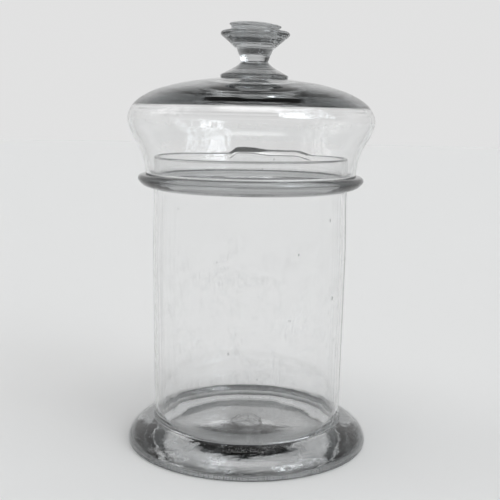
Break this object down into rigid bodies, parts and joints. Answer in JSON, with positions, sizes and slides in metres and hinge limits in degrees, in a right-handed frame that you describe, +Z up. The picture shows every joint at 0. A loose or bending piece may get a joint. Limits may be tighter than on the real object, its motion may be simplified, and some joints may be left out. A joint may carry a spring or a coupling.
{
  "type": "specimen jar",
  "caption": "Cylindrical clear glass specimen jar on a flared foot, with a collar ring and a domed lift-off cover that has a flared knob.",
  "frame": {"origin": "centre of the ring that the foot stands on", "axes": "+Z up along the axis that the jar is turned round; the jar has no front"},
  "size_m": [0.14, 0.14, 0.2422],
  "materials": {
    "body_glass": "clear blown soda glass, faint haze and fine scratches in the lower half",
    "foot_glass": "clear thick glass, slight grey cast, worn under the standing ring",
    "collar_glass": "clear glass thread, slight grey cast",
    "pontil_glass": "rough broken glass scar",
    "lid_glass": "clear blown glass, slightly wavy, ground lower edge",
    "knob_glass": "solid clear glass, tooled steps"
  },
  "bodies": {
    "jar": {"jar_body": "body_glass", "foot": "foot_glass", "collar_ring": "collar_glass", "pontil_mark": "pontil_glass"},
    "lid": {"lid_dome": "lid_glass", "knob_wafer": "knob_glass", "knob_merese": "knob_glass", "knob_funnel": "knob_glass", "knob_button": "knob_glass"}
  },
  "joints": [
    {"name": "lid_lift", "type": "slide", "parent": "jar", "child": "lid", "axis": [0, 0, 1], "range_m": [0, 0.1]}
  ]
}
